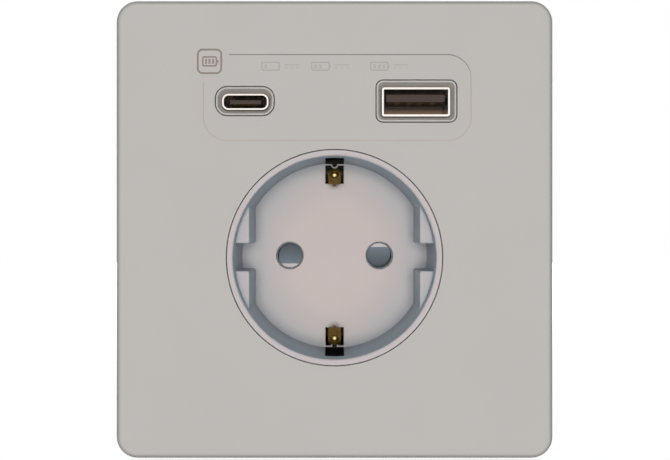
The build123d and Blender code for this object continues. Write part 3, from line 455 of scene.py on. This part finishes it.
def slotGuards():  # tongues of the plate's guide ring that close the room behind the earth slots
    look = guardLook
    frontY = faceY + look["behindFace"] * mm
    backY = frontY + look["reach"] * mm
    inner = look["inner"] * mm
    outer = inner + look["wall"] * mm
    section = ((inner, frontY), (outer, frontY), (outer, backY), (inner, backY))
    shape = bmesh.new()
    for middle in look["middles"]:
        turns = [math.radians(middle + look["halfTurn"] * (2 * i / look["steps"] - 1))
                 for i in range(look["steps"] + 1)]
        rings = swept(shape, section, 0.0, wellZ, turns)
        for before, after in zip(rings, rings[1:]):
            skin(shape, before, after)
        shape.faces.new(rings[0])
        shape.faces.new(rings[-1])
    bmesh.ops.recalc_face_normals(shape, faces=shape.faces)
    piece = newPiece("slot_guards", shape, nodes["front_plate"].data.materials[0])
    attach(piece, "socket")


slotGuards()
print("earth slots guarded")


def windingSpring():  # a merged copy of the coil stands in for the CAD node; the real spring winds up as its arm goes round with the shutter and its other end stays in the keeper
    coil = nodes["shutter_spring"]
    shape = bmesh.new()
    shape.from_mesh(coil.data)
    bmesh.ops.remove_doubles(shape, verts=shape.verts, dist=mergeReach)
    piece = newPiece("return_spring", shape, coil.data.materials[0])
    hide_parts("shutter_spring")
    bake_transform(piece)


windingSpring()


printLook = {"proud": 0.012, "sunk": 0.006, "cornerSteps": 14,
             "shader": {"Roughness": 0.6, "IOR": 1.5, "Specular IOR Level": 0.3}}
frameLook = {"left": -25.1, "right": 26.15, "low": 17.05, "high": 33.5, "corner": 4.5, "line": 0.2,
             "gapTop": -20.2, "gapSide": 28.3, "ink": ((0.0, "#bfb4aa"), (0.75, "#b3aaa2"), (1.0, "#8f8a84"))}
signLook = {"x": -23.95, "z": 32.2, "size": 4.5, "corner": 0.9, "line": 0.36, "cell": (2.6, 1.7),
            "cellLine": 0.3, "bars": 3, "barPitch": 0.68, "bar": (0.4, 0.95),
            "ink": ((0.0, "#9a8f89"), (1.0, "#94877f"))}
levelLook = {"z": 31.25, "groups": (-10.35, -0.78, 10.5), "cell": (3.3, 1.5), "line": 0.2, "barPitch": 0.9,
             "bar": (0.45, 0.8), "nub": 0.25, "gap": 0.8, "sign": 2.8, "dashes": 3, "dash": 0.6,
             "dashPitch": 1.1, "lineGap": 0.55, "ink": ((0.0, "#b3aea9"), (1.0, "#afaba6"))}


def printInk(name, tones):  # pad printed ink: thin, matte, its tone changing with height over the port frame
    material, tree, shader, place = newMaterial(name, printLook["shader"])
    height = share(tree, axes(tree, place)["Z"], frameLook["low"] * mm, frameLook["high"] * mm)
    paint(tree, shader, ramp(tree, height, tones))
    return material


def startTree(name, sizes):  # geometry node tree with named inputs of each kind and one geometry output
    tree = bpy.data.node_groups.new(name, "GeometryNodeTree")
    for kind, labels in sizes.items():
        for label in labels:
            tree.interface.new_socket(label, in_out="INPUT", socket_type="NodeSocket" + kind)
    tree.interface.new_socket("Geometry", in_out="OUTPUT", socket_type="NodeSocketGeometry")
    return tree, addNode(tree, "NodeGroupInput").outputs


def endTree(tree, shape, sizes):  # from the flat plane to its place on the plate's face, in its ink
    turned = addNode(tree, "GeometryNodeTransform", {
        "Geometry": shape, "Translation": sizes["Place"], "Rotation": (math.pi / 2, 0, 0)})
    inked = addNode(tree, "GeometryNodeSetMaterial", {
        "Geometry": turned.outputs[0], "Material": sizes["Ink"]})
    addNode(tree, "NodeGroupOutput", {"Geometry": inked.outputs[0]})
    return tree


def roundedLineTree():  # a printed line along a rounded rectangle, whole or open between two lengths along it
    tree, sizes = startTree("printed_line", {
        "Float": ("Width", "Height", "Corner", "Line", "Thickness", "Gap Start", "Gap End"),
        "Bool": ("Open",), "Vector": ("Place",), "Material": ("Ink",)})
    box = addNode(tree, "GeometryNodeCurvePrimitiveQuadrilateral", {
        "Width": sizes["Width"], "Height": sizes["Height"]})
    rounded = addNode(tree, "GeometryNodeFilletCurve", {
        "Curve": box.outputs[0], "Radius": sizes["Corner"], "Count": printLook["cornerSteps"]}, mode="POLY")
    start, end = 4, 5  # the length sockets of a trim share their names with the factor sockets
    before = addNode(tree, "GeometryNodeTrimCurve", {
        "Curve": rounded.outputs[0], end: sizes["Gap Start"]}, mode="LENGTH")
    after = addNode(tree, "GeometryNodeTrimCurve", {
        "Curve": rounded.outputs[0], start: sizes["Gap End"]}, mode="LENGTH")
    both = addNode(tree, "GeometryNodeJoinGeometry", {0: before.outputs[0]})
    tree.links.new(after.outputs[0], both.inputs[0])
    path = addNode(tree, "GeometryNodeSwitch", {
        "Switch": sizes["Open"], "False": rounded.outputs[0], "True": both.outputs[0]}, input_type="GEOMETRY")
    section = addNode(tree, "GeometryNodeCurvePrimitiveQuadrilateral", {
        "Width": sizes["Line"], "Height": sizes["Thickness"]})
    line = addNode(tree, "GeometryNodeCurveToMesh", {
        "Curve": path.outputs[0], "Profile Curve": section.outputs[0], "Fill Caps": True})
    return endTree(tree, line.outputs[0], sizes)


def strokeRowTree():  # a row of upright printed strokes
    tree, sizes = startTree("printed_strokes", {
        "Int": ("Count",), "Float": ("Pitch", "Stroke Width", "Stroke Height", "Thickness"),
        "Vector": ("Place",), "Material": ("Ink",)})
    step = addNode(tree, "ShaderNodeCombineXYZ", {"X": sizes["Pitch"]})
    row = addNode(tree, "GeometryNodeMeshLine", {"Count": sizes["Count"], "Offset": step.outputs[0]})
    size = addNode(tree, "ShaderNodeCombineXYZ", {
        "X": sizes["Stroke Width"], "Y": sizes["Stroke Height"], "Z": sizes["Thickness"]})
    stroke = addNode(tree, "GeometryNodeMeshCube", {"Size": size.outputs[0]})
    foot = addNode(tree, "ShaderNodeCombineXYZ", {"Y": calc(tree, "MULTIPLY", sizes["Stroke Height"], 0.5)})
    stood = addNode(tree, "GeometryNodeTransform", {
        "Geometry": stroke.outputs[0], "Translation": foot.outputs[0]})
    strokes = addNode(tree, "GeometryNodeInstanceOnPoints", {
        "Points": row.outputs[0], "Instance": stood.outputs[0]})
    real = addNode(tree, "GeometryNodeRealizeInstances", {"Geometry": strokes.outputs[0]})
    return endTree(tree, real.outputs[0], sizes)


def runTree(tree, values):  # plain mesh from a tree at these sizes
    holder = bpy.data.objects.new("holder", bpy.data.meshes.new("holder"))
    bpy.context.scene.collection.objects.link(holder)
    modifier = holder.modifiers.new("tree", "NODES")
    modifier.node_group = tree
    for item in tree.interface.items_tree:
        if item.in_out == "INPUT" and item.name in values:
            modifier[item.identifier] = values[item.name]
    bpy.context.view_layer.update()
    mesh = bpy.data.meshes.new_from_object(holder.evaluated_get(bpy.context.evaluated_depsgraph_get()))
    bpy.data.objects.remove(holder)
    return mesh


def printedPiece(name, meshes, ink):  # one print of the pad, on the plate's face
    shape = bmesh.new()
    for mesh in meshes:
        shape.from_mesh(mesh)
    bmesh.ops.remove_doubles(shape, verts=shape.verts, dist=mergeReach)
    bmesh.ops.recalc_face_normals(shape, faces=shape.faces)
    piece = newPiece(name, shape, ink)
    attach(piece, "socket")


lineTree = roundedLineTree()
strokeTree = strokeRowTree()
thickness = (printLook["proud"] + printLook["sunk"]) * mm
inkY = faceY - (printLook["proud"] - printLook["sunk"]) / 2 * mm


def printedLine(x, z, width, height, corner, line, ink, gap=None):  # rounded rectangle about its middle
    start, end = gap or (0.0, 0.0)
    return runTree(lineTree, {
        "Width": width * mm, "Height": height * mm, "Corner": corner * mm, "Line": line * mm,
        "Thickness": thickness, "Open": gap is not None, "Gap Start": start * mm, "Gap End": end * mm,
        "Place": (x * mm, inkY, z * mm), "Ink": ink})


def printedStrokes(x, z, count, pitch, width, height, ink):  # row from the foot of its first stroke
    return runTree(strokeTree, {
        "Count": count, "Pitch": pitch * mm, "Stroke Width": width * mm, "Stroke Height": height * mm,
        "Thickness": thickness, "Place": (x * mm, inkY, z * mm), "Ink": ink})


def portFrame():  # thin frame round both ports, open at the upper left where the sign is
    look = frameLook
    ink = printInk("pad_print_ink_line", look["ink"])
    width = look["right"] - look["left"]
    height = look["high"] - look["low"]
    bend = math.pi / 2 * look["corner"]
    topRun = look["right"] - look["corner"] - look["gapTop"]
    sideRun = look["high"] - look["corner"] - look["gapSide"]
    gap = (bend + topRun, 2 * bend + width - 2 * look["corner"] + sideRun)
    x = (look["left"] + look["right"]) / 2
    z = (look["low"] + look["high"]) / 2
    line = printedLine(x, z, width, height, look["corner"], look["line"], ink, gap)
    printedPiece("port_frame_print", [line], ink)


def chargeSign():  # plain battery in a rounded square
    look = signLook
    ink = printInk("pad_print_ink_sign", look["ink"])
    cellWidth, cellHeight = look["cell"]
    barWidth, barHeight = look["bar"]
    x, z, line = look["x"], look["z"], look["cellLine"]
    barX, barZ = x - (look["bars"] - 1) * look["barPitch"] / 2, z - barHeight / 2
    nubHeight = barHeight / 2
    printedPiece("charge_sign_print", [
        printedLine(x, z, look["size"], look["size"], look["corner"], look["line"], ink),
        printedLine(x, z, cellWidth, cellHeight, line, line, ink),
        printedStrokes(barX, barZ, look["bars"], look["barPitch"], barWidth, barHeight, ink),
        printedStrokes(x + cellWidth / 2 + line, z - nubHeight / 2, 1, 0.0, line, nubHeight, ink),
    ], ink)


def levelMarks():  # three levels: a battery with one, two or three bars, and the sign for direct current
    look = levelLook
    ink = printInk("pad_print_ink_faint", look["ink"])
    cellWidth, cellHeight = look["cell"]
    barWidth, barHeight = look["bar"]
    line, nub, sign, dash, z = look["line"], look["nub"], look["sign"], look["dash"], look["z"]
    nubHeight = barHeight / 2
    whole = cellWidth + nub + look["gap"] + sign
    low = z - (look["lineGap"] + line) / 2
    parts = []
    for i, middle in enumerate(look["groups"]):
        cellX = middle - whole / 2 + cellWidth / 2
        nubX = cellX + (cellWidth + line + nub) / 2
        signX = middle + whole / 2 - sign
        barX, barZ = cellX - look["barPitch"], z - barHeight / 2
        parts += [
            printedLine(cellX, z, cellWidth, cellHeight, line, line, ink),
            printedStrokes(nubX, z - nubHeight / 2, 1, 0.0, nub, nubHeight, ink),
            printedStrokes(barX, barZ, i + 1, look["barPitch"], barWidth, barHeight, ink),
            printedStrokes(signX + sign / 2, low + look["lineGap"], 1, 0.0, sign, line, ink),
            printedStrokes(signX + dash / 2, low, look["dashes"], look["dashPitch"], dash, line, ink),
        ]
    printedPiece("level_marks_print", parts, ink)


for makePrint in (portFrame, chargeSign, levelMarks):
    makePrint()
print("print laid on the face")


def seenRays(tree):  # one for rays that show the background: from the camera, mirrored or let through
    path = addNode(tree, "ShaderNodeLightPath").outputs
    seen = calc(tree, "MAXIMUM", path["Is Camera Ray"], path["Is Glossy Ray"])
    return calc(tree, "MAXIMUM", seen, path["Is Transmission Ray"])


domeLook = {"tones": ((0.0, "#597f9c"), (0.3, "#597f9c"), (0.5, "#a39c92"), (1.0, "#959595"))}


def softDome():  # light from front to back, cool to neutral; white to the camera and in reflections
    world = bpy.data.worlds.new("studio")
    bpy.context.scene.world = world
    world.use_nodes = True
    tree = world.node_tree
    tree.nodes.clear()
    depth = axes(tree, addNode(tree, "ShaderNodeTexCoord").outputs["Generated"])["Y"]
    around = ramp(tree, share(tree, depth, -1.0, 1.0), domeLook["tones"])
    light = addNode(tree, "ShaderNodeBackground", {"Color": around})
    white = addNode(tree, "ShaderNodeBackground", {"Color": (1, 1, 1, 1), "Strength": 1.0})
    mix = addNode(tree, "ShaderNodeMixShader", {0: seenRays(tree), 1: light.outputs[0], 2: white.outputs[0]})
    addNode(tree, "ShaderNodeOutputWorld", {"Surface": mix.outputs[0]})


lampLooks = {
    "key_box": {  # mirrored surfaces show the white surroundings, not this box or the rear ones
        "places": ((0.0, -2.0, 0.0),), "size": 0.6, "watts": 34.8, "colour": "#fff0e2",
        "unseen": "visible_glossy"},
    "rear_box": {
        "places": ((-0.5, 1.2, 0.25), (0.5, 1.2, 0.25)), "size": 0.5, "watts": 11.0, "colour": "#ffffff",
        "unseen": "visible_glossy"},
    "spark_box": {  # only the small glints on pressed metal
        "places": ((0.0, -0.6, -0.12),), "size": 0.2, "watts": 1.2, "colour": "#fffaf2",
        "unseen": "visible_diffuse"},
}


def softBox(name, look, place):  # square lamp aimed at the middle of the plate
    data = bpy.data.lights.new(name, "AREA")
    data.size = look["size"]
    data.energy = look["watts"]
    data.color = linear(look["colour"])[:3]
    lamp = bpy.data.objects.new(name, data)
    lamp.location = place
    lamp.rotation_euler = (-lamp.location).to_track_quat("-Z", "Y").to_euler()
    setattr(lamp, look["unseen"], False)
    bpy.context.scene.collection.objects.link(lamp)


floorLook = {"shader": {"Base Color": linear("#f0f0ee"), "Roughness": 0.9}, "drop": 2.0 * mm, "reach": 1.2,
             "glow": (0.52, 1.0), "glowReach": (0.08, 0.5)}


def paleFloor():  # white at a distance, with the socket's own soft shadow close to it
    look = floorLook
    reach = look["reach"]
    z = cadBox[0].z - look["drop"]
    corners = [(-reach, -reach, z), (reach, -reach, z), (reach, reach, z), (-reach, reach, z)]
    mesh = bpy.data.meshes.new("floor")
    mesh.from_pydata(corners, [], [(0, 1, 2, 3)])
    floor = bpy.data.objects.new("floor", mesh)
    bpy.context.scene.collection.objects.link(floor)
    material, tree, shader, place = newMaterial("pale_floor", look["shader"])
    away = addNode(tree, "ShaderNodeVectorMath", {0: place}, operation="LENGTH")
    strength = share(tree, away.outputs["Value"], *look["glowReach"], *look["glow"])
    glow = addNode(tree, "ShaderNodeEmission", {"Color": (1, 1, 1, 1), "Strength": strength})
    lit = addNode(tree, "ShaderNodeAddShader", {0: shader.outputs[0], 1: glow.outputs[0]})
    mix = addNode(tree, "ShaderNodeMixShader", {0: seenRays(tree), 1: shader.outputs[0], 2: lit.outputs[0]})
    tree.links.new(mix.outputs[0], tree.nodes["Material Output"].inputs["Surface"])
    mesh.materials.append(material)
    floor.visible_shadow = floor.visible_diffuse = False  # on a wall, light from below reaches the socket


softDome()
for name, look in lampLooks.items():
    for place in look["places"]:
        softBox(name, look, place)
paleFloor()
print("studio built")


cameraLook = {"place": (0.09 * mm, faceY - 164.75 * mm, -1.1 * mm), "focalPixels": 860.0, "imageWidth": 670.0,
              "risePixels": 5.2, "sensor": 36.0, "nearest": 0.01}


def photoCamera():  # square on to the face, at the distance that the well's foreshortening gives
    look = cameraLook
    data = bpy.data.cameras.new("camera")
    data.sensor_width = look["sensor"]
    data.lens = look["focalPixels"] * look["sensor"] / look["imageWidth"]
    data.shift_y = look["risePixels"] / look["imageWidth"]
    data.clip_start = look["nearest"]
    camera = bpy.data.objects.new("camera", data)
    camera.location = look["place"]
    camera.rotation_euler = (math.pi / 2, 0, 0)
    bpy.context.scene.collection.objects.link(camera)
    bpy.context.scene.camera = camera


photoCamera()
bpy.context.scene.view_settings.view_transform = "Standard"
